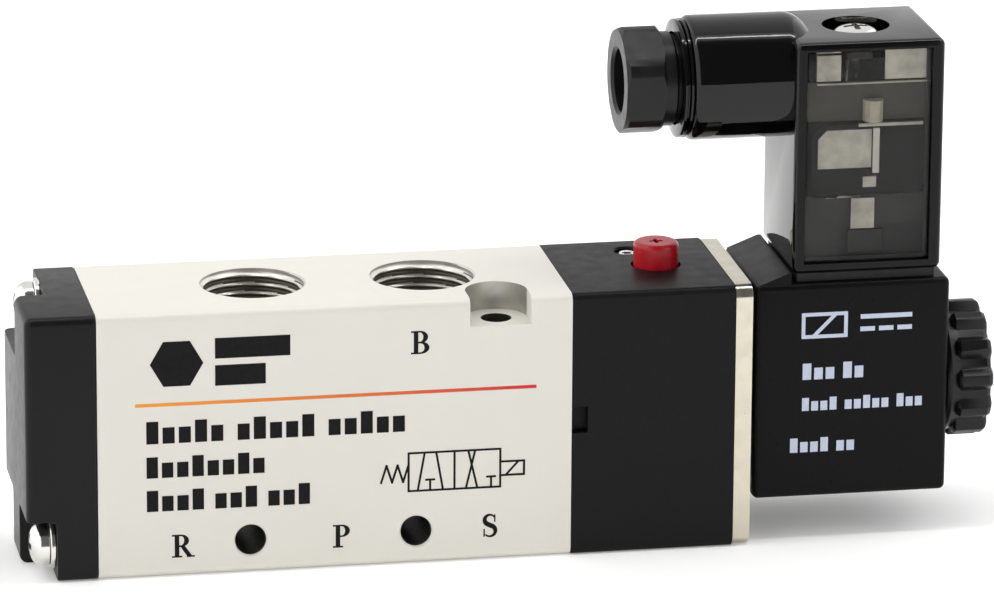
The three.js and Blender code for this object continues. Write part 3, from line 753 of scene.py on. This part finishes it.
def build_coil():
    coil_top = COIL_HI.z - 1.6
    stock = slab((COIL_LO.x, COIL_LO.y, COIL_LO.z), (COIL_HI.x, COIL_HI.y, coil_top))
    round_edges(stock, 0.9)
    lip = station(PLUG_LEFT - 0.2)
    side = [
        (COIL_LO.x + 0.1, coil_top - 1.2),
        (lip, coil_top - 1.2),
        (lip, coil_top + 1.6),
        (lip - 0.5, coil_top + 1.6),
        (COIL_LO.x + 0.3, coil_top - 0.2),
    ]
    ramp = prism(side, "Y", COIL_LO.y + 0.5, COIL_HI.y - 0.5)
    tools = [
        rod("X", (0, COIL_AXIS), COIL_LO.x - 1, COIL_HI.x - 2.4, 9.9),
        rod("X", (0, COIL_AXIS), COIL_LO.x, COIL_HI.x + 1, 4.8, 64),
    ]
    for number in (1, 2, 3):
        low, high = corners(f"coil_pin_{number}")
        grow = Vector((0.15, 0.15, 0.1))
        tools.append(slab(low - grow, high + grow))
    shape = combine(combine(stock, [ramp], "UNION"), tools)
    piece("coil_casing", shape, "coil_black", "valve", ["coil_housing"], edge=0.18)


def build_coil_nut():
    """A disc and cone against the coil, then lobes with grooves between them."""
    radius = (NUT_HI.z - NUT_LO.z) / 2
    steps = NUT_LOBES * 20
    first_lobe = math.radians(FIRST_LOBE)
    lobe_start = NUT_LO.x + 1.9
    profile = [(lobe_start, 0.4), (lobe_start + 0.4, 0.0), (NUT_HI.x - 0.8, 0.0), (NUT_HI.x - 0.25, 0.35)]
    profile.append((NUT_HI.x, 0.9))
    rings = []
    for x, drop in profile:
        ring = []
        for i in range(steps):
            angle = 2 * math.pi * i / steps
            wave = max(-1.0, min(1.0, 1.6 * math.cos(NUT_LOBES * (angle - first_lobe))))
            reach = radius - drop + (wave - 1) * LOBE_DEPTH / 2
            ring.append((x, reach * math.cos(angle), COIL_AXIS + reach * math.sin(angle)))
        rings.append(ring)
    grip = loft(rings, closed=False)
    hub = [(NUT_LO.x, 8.5), (NUT_LO.x + 0.2, 9.2), (NUT_LO.x + 0.9, 9.5)]
    hub += [(lobe_start + 0.5, radius - LOBE_DEPTH), (lobe_start + 1, radius - LOBE_DEPTH - 0.1)]
    whole = combine(grip, [turned("X", (0, COIL_AXIS), hub)], "UNION")
    tools = [
        rod("X", (0, COIL_AXIS), NUT_LO.x - 1, NUT_HI.x + 1, 3.1, 64),
        turned("X", (0, COIL_AXIS), [(NUT_HI.x - 0.9, 5.2), (NUT_HI.x + 0.2, 5.6)], 64),
    ]
    shape = combine(whole, tools)
    piece("coil_nut_fine", shape, "nut_black", "coil_nut", ["coil_nut"], edge=0.12)


# ---- Cable plug ----
def build_plug_housing():
    left = station(PLUG_LEFT)
    right = PLUG_HI.x
    near, far = PLUG_LO.y, PLUG_HI.y
    middle = (left + right) / 2
    base = PLUG_LO.z
    stock = slab((left, near, base), (right, far, PLUG_TOP))
    round_edges(stock, 1.0)
    boss_left = station(BOSS_START)
    outline = [(boss_left, BOSS_RADIUS - 0.9)]
    outline += [(boss_left + 0.25, BOSS_RADIUS - 0.35), (boss_left + 0.7, BOSS_RADIUS - 0.05)]
    outline += [(boss_left + 1.2, BOSS_RADIUS), (left, BOSS_RADIUS)]
    for i in range(1, 10):
        share = i / 10
        outline.append((left + NOSE_REACH * share, BOSS_RADIUS * math.sqrt(1 - share * share)))
    boss = turned("X", (0, GLAND_AXIS), outline, 128)
    teeth = [(-1.5, 8.3), (-1.35, 8.7), (-1.0, 8.75), (-0.8, 8.3), (-0.65, 8.3)]
    teeth += [(-0.45, 8.8), (-0.15, 8.8), (0.05, 8.35), (1, 8.35)]
    rim = turned("X", (0, GLAND_AXIS), [(boss_left + x, r) for x, r in teeth])
    shell = combine(stock, [boss, rim], "UNION")
    floor = PLUG_TOP - PLUG_SCREW_SINK
    cavity = slab(
        (left + PLUG_WALL, near + 1.9, base - 1), (right - PLUG_WALL, far - PLUG_WALL, PLUG_TOP - 1.8)
    )
    cup = rod("Z", (middle, 0), floor - 1.2, PLUG_TOP, 6)
    gap = 0.15
    tools = [
        combine(cavity, [cup]),
        slab((PANE_LO.x - gap, near - 1, PANE_LO.z - gap), (PANE_HI.x + gap, near + 2.2, PANE_HI.z + gap)),
        rod("X", (0, GLAND_AXIS), boss_left - 3, left - 3, 6.9),
        rod("X", (0, GLAND_AXIS - 0.4), boss_left, left + 2, CABLE_RADIUS),
        rod("Z", (middle, 0), floor, PLUG_TOP + 5, 5),
        rod("Z", (middle, 0), floor - 3, PLUG_TOP, 1.8, 48),
    ]
    shape = combine(shell, tools)

    def on_frame(centre, normal):
        return centre.y < near + 2.3 and centre.x > left + 0.5 and centre.z < PLUG_TOP - 0.4

    areas = [("frame_black", on_frame)]
    piece("plug_shell", shape, "gloss_black", "plug", ["plug_housing"], edge=0.3, areas=areas)


def build_plug_window():
    pane = slab(PANE_LO, PANE_HI)
    round_edges(pane, 0.35, segments=3)
    piece("plug_pane", pane, "smoked", "plug", ["plug_window"])


def build_behind_pane():
    """Metal plates, rails, walls, a moulded seam and a border, seen through the pane."""
    deep = PANE_HI.y + 0.3
    boxes = [
        ("contact_left", 106.9, 110.5, 68.9, 72.8, 0.4, "tin", "nickel"),
        ("contact_right", 117.0, 123.2, 68.9, 73.2, 0.4, "tin", "nickel"),
        ("shelf", 106.9, 123.4, 68.45, 68.7, 0.0, "tin", "nickel"),
        ("lamp_rail", 113.2, 122.8, 62.0, 62.5, 0.0, "tin", "nickel"),
        ("contact_strip", 115.3, 116.3, 55.0, 61.8, -0.2, "crest", "nickel"),
        ("contact_stub", 114.0, 116.0, 52.8, 54.4, 0.2, "tin", "nickel"),
        ("contact_tab", 112.3, 115.8, 46.6, 51.2, 0.1, "tin", "nickel"),
        ("tab_pocket", 112.0, 117.2, 42.9, 46.3, 0.5, "inner_grey", "black_plastic"),
        ("brass_edge", 105.0, 105.9, 68.9, 72.4, 0.2, "brass", "brass"),
        ("upper_wall", 105.5, 123.5, 62.6, 68.4, 1.4, "inner_haze", "black_plastic"),
        ("lower_wall", 105.5, 123.5, 42.3, 51.4, 1.4, "inner_grey", "black_plastic"),
    ]
    for name, x0, x1, z0, z1, back, look, slot in boxes:
        y = deep + back
        plate = slab((station(x0), y, z0), (station(x1), y + 0.3, z1))
        piece(name, plate, look, "plug", edge=0.06)
    corner = [(107.2, 55.8), (115.2, 55.8), (115.2, 61.6), (108.5, 61.6), (107.2, 60.3)]
    main = prism([(station(x), z) for x, z in corner], "Y", deep + 0.1, deep + 0.4)
    piece("contact_plate", main, "tin", "plug", edge=0.06)
    outline = rounded_rectangle(17.0, 10.4, 2.0, (station(114.9), 57.0))
    panel = prism(outline, "Y", deep + 0.45, deep + 0.6)
    piece("contact_panel", panel, "inner_dark", "plug")
    seam = [(106.8, 51.9), (109.8, 51.75), (110.2, 51.95), (112.6, 51.8)]
    seam += [(116.5, 52.0), (118.1, 51.8), (121.5, 52.1)]
    widths = (0.7, 0.6, 0.35, 0.3, 0.4, 0.25)
    runs = zip(seam, seam[1:], widths)
    line = [strip((station(a), b), (station(c), d), wide) for (a, b), (c, d), wide in runs]
    print_shapes("seam", line, deep - 0.1, "ink_black", "plug")
    border = slab((PANE_LO.x + 0.1, deep, PANE_LO.z + 0.1), (PANE_HI.x - 0.1, deep + 0.35, PANE_HI.z - 0.1))
    hollow = slab((PANE_LO.x + 0.4, deep - 1, PANE_LO.z + 0.4), (PANE_HI.x - 0.4, deep + 1, PANE_HI.z - 0.4))
    piece("pane_border", combine(border, [hollow]), "inner_grey", "plug")


def build_plug_screw():
    low, high = corners("plug_screw")
    centre = ((low.x + high.x) / 2, 0)
    seat = high.z - PLUG_HEAD_HEIGHT
    head = pan_head("Z", centre, seat, 1, PLUG_SCREW_HEAD, PLUG_HEAD_HEIGHT)
    screw = combine(head, [rod("Z", centre, low.z, seat + 0.4, SCREW_SHANK, 48)], "UNION")
    piece("plug_screw_fine", screw, "nickel", "plug_screw", ["plug_screw"], edge=0.06)


def build_gland_nut():
    """A hexagon with its corners taken off, a plain collar, and a plain tail that goes into the boss."""
    start = GLAND_LO.x
    hex_end = start + HEX_LENGTH
    collar_end = station(BOSS_START) - 1.9
    reach = HEX_ACROSS / math.sqrt(3)
    centre = (0, GLAND_AXIS)
    outline = []
    for i in range(6):
        angle = math.radians(60 * i + HEX_TURN)
        outline.append((reach * math.cos(angle), GLAND_AXIS + reach * math.sin(angle)))
    hexagon = prism(outline, "X", start, hex_end)
    turning = [(start, 7.55), (start + 0.5, 8.15), (hex_end - 0.5, 8.15), (hex_end, 7.6)]
    head = combine(hexagon, [turned("X", centre, turning)], "INTERSECT")
    collar = turned("X", centre, [(hex_end - 0.5, 6.95), (collar_end - 0.3, 6.95), (collar_end, 6.7)])
    tail = rod("X", centre, hex_end, GLAND_HI.x, 6.5)
    bore = [(start - 0.5, CABLE_RADIUS + 0.9), (start + 0.45, CABLE_RADIUS), (GLAND_HI.x + 1, CABLE_RADIUS)]
    shape = combine(combine(head, [collar, tail], "UNION"), [turned("X", centre, bore)])
    piece("gland_nut_fine", shape, "gland_black", "gland_nut", ["gland_nut"], edge=0.16)


# ---- Printing ----
def print_shapes(name, outlines, face, look, body="valve"):
    """Thin raised ink on a face that looks towards -Y, from (x, z) outlines.

    Each outline stands a little prouder than the last, so that crossing strokes don't share a plane.
    """
    whole = bmesh.new()
    for i, outline in enumerate(outlines):
        part = prism(outline, "Y", face - INK_DEPTH - 0.0004 * i, face + 0.01)
        mesh = bpy.data.meshes.new("scratch")
        part.to_mesh(mesh)
        part.free()
        whole.from_mesh(mesh)
        bpy.data.meshes.remove(mesh)
    piece(name, whole, look, body)


def strip(start, end, width):
    """A straight stroke as a polygon."""
    one, two = Vector(start), Vector(end)
    along = (two - one).normalized()
    side = Vector((-along.y, along.x)) * width / 2
    tip = along * width * 0.4
    return [tuple(p) for p in (one - tip + side, two + tip + side, two + tip - side, one - tip - side)]


def strokes(paths, width):
    """Every straight run of every path as a polygon."""
    return [strip(a, b, width) for path in paths for a, b in zip(path, path[1:])]


def bar(x0, x1, z0, z1):
    return [(x0, z0), (x1, z0), (x1, z1), (x0, z1)]


def bowl(x, z, outer, inner):
    """The right half of an oval ring, as on a B or a P."""
    turn = [math.radians(-90 + 10 * i) for i in range(19)]
    out = [(x + outer[0] * math.cos(a), z + outer[1] * math.sin(a)) for a in turn]
    back = [(x + inner[0] * math.cos(a), z + inner[1] * math.sin(a)) for a in reversed(turn)]
    return out + back


def upper_loop():
    """The stem, serifs and upper bowl that B, P and R share, one unit high."""
    return [
        bar(0.12, 0.31, 0, 1),
        bar(0, 0.43, 0, 0.07),
        bar(0, 0.38, 0.93, 1),
        bar(0.30, 0.38, 0.46, 0.53),
        bowl(0.38, 0.73, (0.34, 0.27), (0.14, 0.20)),
    ]


def ribbon(points, widths):
    """A band of changing width along a curve."""
    left, right = [], []
    for i, (x, z) in enumerate(points):
        before, after = points[max(i - 1, 0)], points[min(i + 1, len(points) - 1)]
        along = Vector((after[0] - before[0], after[1] - before[1])).normalized()
        half = widths[i] / 2
        left.append((x - along.y * half, z + along.x * half))
        right.append((x + along.y * half, z - along.x * half))
    return left + right[::-1]


def letter_s():
    """A serif S, one unit high."""
    turns = [(0.37, 0.76, 0.22, 0.215, 25 + 15 * i) for i in range(16)]
    turns += [(0.37, 0.26, 0.24, 0.235, 70 - 15 * i) for i in range(15)]
    points = []
    for x, z, reach_x, reach_z, degrees in turns:
        angle = math.radians(degrees)
        points.append((x + reach_x * math.cos(angle), z + reach_z * math.sin(angle)))
    count = len(points) - 1
    widths = [0.07 + 0.14 * math.sin(math.pi * i / count) ** 2 for i in range(count + 1)]
    return [ribbon(points, widths), bar(0.55, 0.61, 0.66, 0.98), bar(0.10, 0.16, 0.02, 0.36)]


def port_letter(letter, x, z, height):
    """Outlines of a port letter whose lower left corner is at (x, z)."""
    parts = letter_s() if letter == "S" else upper_loop()
    if letter == "B":
        parts += [bar(0.30, 0.40, 0, 0.07), bowl(0.40, 0.265, (0.38, 0.265), (0.17, 0.195))]
    if letter == "R":
        parts += [[(0.34, 0.50), (0.54, 0.50), (0.86, 0.04), (0.64, 0.04)], bar(0.62, 0.96, 0, 0.07)]
    return [[(x + height * u, z + height * v) for u, v in part] for part in parts]


def letter_blocks(x, z, height, words, gap=1.5):
    """Plain blocks in place of lettering: words gives the number of blocks in each group."""
    blocks = []
    wide = 0.52 * height
    count = 0
    for word in words:
        for _ in range(word):
            rise = height if count % 3 == 0 else 0.72 * height
            blocks.append(bar(x, x + wide, z, z + rise))
            x += wide * 1.34
            count += 1
        x += gap
    return blocks


def valve_symbol(x, z, size, tall):
    """The standard sign of a spring-return, solenoid-worked 5/2 valve."""
    low, high = z, z + tall
    paths = [[(a, low), (a + size, low), (a + size, high), (a, high), (a, low)] for a in (x, x + size)]
    for foot, head in ((0.2, 0.35), (0.75, 0.6), (1.5, 1.3), (1.25, 1.45)):
        paths.append([(x + size * foot, low), (x + size * head, high)])
    for share in (0.47, 1.8):
        foot = x + size * share
        stop = low + tall * 0.28
        paths += [[(foot, low), (foot, stop)], [(foot - size * 0.09, stop), (foot + size * 0.09, stop)]]
    step = size * 0.12
    spring = [(x - i * step, low + tall * (0.25 if i % 2 else 0.7)) for i in range(6)]
    box_low, box_high = low + tall * 0.3, low + tall * 0.66
    end = x + 2 * size
    tip = end + size * 0.52
    paths += [spring, [(end, box_low), (tip, box_low), (tip, box_high), (end, box_high)]]
    paths.append([(end + size * 0.12, box_low), (end + size * 0.40, box_high)])
    return paths


def build_printing():
    ports = {"B": (45.9, 32.1), "R": (10.7, 2.9), "P": (34.4, 3.1), "S": (56.4, 3.5)}
    for letter, (x, z) in ports.items():
        shapes = port_letter(letter, station(x), z, LETTER_HEIGHT)
        print_shapes(f"port_letter_{letter}", shapes, FRONT, "ink_black")
    hexagon = [math.tau * i / 6 for i in range(6)]
    mark = [[(station(11.6) + 3.9 * math.cos(a), 32.4 + 3.9 * math.sin(a)) for a in hexagon]]
    mark += [bar(station(17.2), station(28.2), 32.9, 36.0), bar(station(17.2), station(24.6), 28.8, 31.9)]
    print_shapes("plain_mark", mark, FRONT, "ink_black")
    start, end = (station(x) for x in RULE_ENDS)
    rule = [strip((start, RULE_HEIGHT), (end, RULE_HEIGHT), 0.5)]
    print_shapes("rule", rule, FRONT, "rule_ink")
    lines = letter_blocks(station(7.1), 20.4, 3.4, [5, 5, 5])
    lines += letter_blocks(station(7.1), 15.2, 3.2, [8])
    lines += letter_blocks(station(7.1), 10.1, 3.2, [4, 3, 3], 1.1)
    print_shapes("plain_lines", lines, FRONT, "ink_black")
    symbol = strokes(valve_symbol(station(45.6), 11.2, 6.8, 5.8), 0.32)
    print_shapes("valve_sign", symbol, FRONT, "ink_black")
    build_coil_printing()


def build_coil_printing():
    """A coil sign and rows of blocks on the front of the coil."""
    x = station(104.9)
    box = [(x, 31.0), (x + 6.4, 31.0), (x + 6.4, 34.4), (x, 34.4), (x, 31.0)]
    marks = strokes([box, [(x + 1.5, 31.0), (x + 4.9, 34.4)]], 0.55)
    marks += [bar(x + 8.6, x + 16.4, 33.4, 34.1)]
    marks += [bar(x + 8.6 + i * 2.8, x + 10.8 + i * 2.8, 31.5, 32.2) for i in range(3)]
    marks += letter_blocks(x, 24.4, 2.5, [3, 2], 0.9)
    marks += letter_blocks(x, 19.6, 2.0, [4, 5, 3], 0.9)
    marks += letter_blocks(x - 1.7, 13.2, 2.2, [4, 2], 0.9)
    print_shapes("coil_marks", marks, COIL_LO.y, "ink_white")


# ---- Springs ----
def build_spring(node, axis, wire, turns, fixed_end):
    """A coil spring in place of a CAD one."""
    low, high = corners(node)
    centre = (low + high) / 2
    along = "XYZ".index(axis)
    across = [i for i in range(3) if i != along]
    radius = (high[across[0]] - low[across[0]]) / 2 - wire
    start, end = low[along] + wire, high[along] - wire
    steps = turns * 36
    rings = []
    for i in range(steps + 1):
        share = i / steps
        turn = share * turns * math.tau
        rise = start + (end - start) * min(1, max(0, (share * turns - 1) / (turns - 2)))
        rise += wire * 2.1 * (min(0, share * turns - 1) + max(0, share * turns - turns + 1))
        rise = min(max(rise, low[along] + wire), high[along] - wire)
        ring = []
        for j in range(10):
            around = j * math.tau / 10
            reach = radius + wire * math.cos(around)
            u = centre[across[0]] + reach * math.cos(turn)
            v = centre[across[1]] + reach * math.sin(turn)
            ring.append(place(axis, u, v, rise + wire * math.sin(around)))
        rings.append(ring)
    shape = loft(rings, closed=False)
    coil = piece(f"{node}_fine", shape, "steel", "valve", [node], sharp=60)
    anchor = centre.copy()
    anchor[along] = low[along] if fixed_end == "low" else high[along]
    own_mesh(coil)


def build_springs():
    build_spring("return_spring", "X", 0.5, 6, "low")
    build_spring("armature_spring", "X", 0.3, 8, "high")
    build_spring("override_spring", "Z", 0.25, 5, "low")


# ---- CAD pieces that keep their shape ----
def finish_cad_nodes():
    """A material for each CAD piece that is shown as it is."""
    looks = {
        "rubber": ["end_cap_seal", "pilot_seal", "piston_seal", "override_seal", "armature_seal"],
        "steel": ["spool", "override_plunger", "armature_tube", "fixed_core", "armature"],
        "brass": ["pilot_nozzle"],
        "copper": ["coil_winding"],
        "coil_black": ["pilot_piston", "coil_bobbin", "terminal_carrier"],
        "board": ["circuit_board"],
        "lamp": ["indicator_lamp", "resistor"],
        "tin": ["terminal_clamp_1", "terminal_clamp_2"],
    }
    looks["rubber"] += ["coil_seal", "plug_gasket", "gland_grommet"] + [f"spool_seal_{i}" for i in range(1, 7)]
    looks["steel"] += ["pilot_screw_1", "pilot_screw_2", "plate_screw_1", "plate_screw_2"]
    looks["steel"] += ["terminal_screw_1", "terminal_screw_2"]
    looks["nickel"] = ["gland_washer", "coil_pin_1", "coil_pin_2", "coil_pin_3"]
    for look, names in looks.items():
        for name in names:
            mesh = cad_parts[name].data
            mesh.materials.clear()
            mesh.materials.append(MATERIALS[look])


# ---- Studio ----
def world_light():
    """Bright walls to the left and right, strips overhead, a softer back and a dark front."""
    world = bpy.data.worlds.new("studio")
    world.use_nodes = True
    tree = world.node_tree

    def math_node(operation, one, two):
        node = tree.nodes.new("ShaderNodeMath")
        node.operation = operation
        for socket, value in zip(node.inputs, (one, two)):
            if isinstance(value, (int, float)):
                socket.default_value = value
            else:
                tree.links.new(value, socket)
        return node.outputs[0]

    def ramp(value, start, end, low, high):
        node = tree.nodes.new("ShaderNodeMapRange")
        node.interpolation_type = "SMOOTHSTEP"
        for name, number in zip(("From Min", "From Max", "To Min", "To Max"), (start, end, low, high)):
            node.inputs[name].default_value = number
        tree.links.new(value, node.inputs["Value"])
        return node.outputs["Result"]

    direction = tree.nodes.new("ShaderNodeTexCoord").outputs["Generated"]
    split = tree.nodes.new("ShaderNodeSeparateXYZ")
    tree.links.new(direction, split.inputs["Vector"])
    x, y, z = split.outputs
    across = math_node("ABSOLUTE", x, 0)
    depth = math_node("ABSOLUTE", y, 0)
    front_to_back = ramp(y, -0.3, 0.3, FRONT_GLOW, BACK_GLOW)
    walls = ramp(across, 0.33, 0.5, 0, WALL_GLOW)
    wide_strip = ramp(depth, 0.06, 0.14, STRIP_GLOW, 0)
    thin_strip = ramp(depth, 0.010, 0.022, THIN_STRIP_GLOW, 0)
    overhead = math_node("MULTIPLY", math_node("ADD", wide_strip, thin_strip), ramp(z, 0.7, 0.8, 0, 1))
    total = math_node("ADD", math_node("MAXIMUM", front_to_back, walls), overhead)
    tree.links.new(total, tree.nodes["Background"].inputs["Strength"])
    tree.nodes["Background"].inputs["Color"].default_value = (1, 1, 1, 1)
    bpy.context.scene.world = world


def build_studio():
    floor = bmesh.new()
    bmesh.ops.create_grid(floor, x_segments=1, y_segments=1, size=6.0)
    mesh = bpy.data.meshes.new("floor")
    floor.to_mesh(mesh)
    floor.free()
    paper = Shader("paper_floor", Roughness=0.9, Specular_IOR_Level=0.1, Emission_Strength=0.14)
    paper.bsdf.inputs["Emission Color"].default_value = (1, 1, 1, 1)
    paper.tint(paper.noise(400, 2), (0.93, 0.93, 0.925), (0.95, 0.95, 0.945))
    mesh.materials.append(paper.material)
    ground = bpy.data.objects.new("floor", mesh)
    bpy.context.scene.collection.objects.link(ground)
    world_light()


def build_camera():
    """A long lens from the left of the labelled face, looking down a little."""
    azimuth, elevation, roll = (math.radians(a) for a in (CAMERA_AZIMUTH, CAMERA_ELEVATION, CAMERA_ROLL))
    aim = Vector(CAMERA_AIM) * MM
    level_reach = math.cos(elevation)
    toward = Vector((math.sin(azimuth) * level_reach, -math.cos(azimuth) * level_reach, math.sin(elevation)))
    data = bpy.data.cameras.new("camera")
    data.sensor_width = 36
    data.lens = CAMERA_LENS
    data.clip_start = 0.05
    data.clip_end = 20
    camera = bpy.data.objects.new("camera", data)
    camera.rotation_mode = "QUATERNION"
    camera.location = aim + toward * CAMERA_DISTANCE * MM
    level = (-toward).to_track_quat("-Z", "Y")
    camera.rotation_quaternion = level @ Matrix.Rotation(-roll, 3, "Z").to_quaternion()
    bpy.context.scene.collection.objects.link(camera)
    bpy.context.scene.camera = camera
    bpy.context.scene.view_settings.view_transform = "Standard"


build_camera()
build_studio()
build_body()
build_end_cap()
build_cap_screws()
build_pilot_block()
build_override_button()
build_plate()
build_coil()
build_coil_nut()
build_plug_housing()
build_plug_window()
build_behind_pane()
build_plug_screw()
build_gland_nut()
build_printing()
build_springs()
finish_cad_nodes()
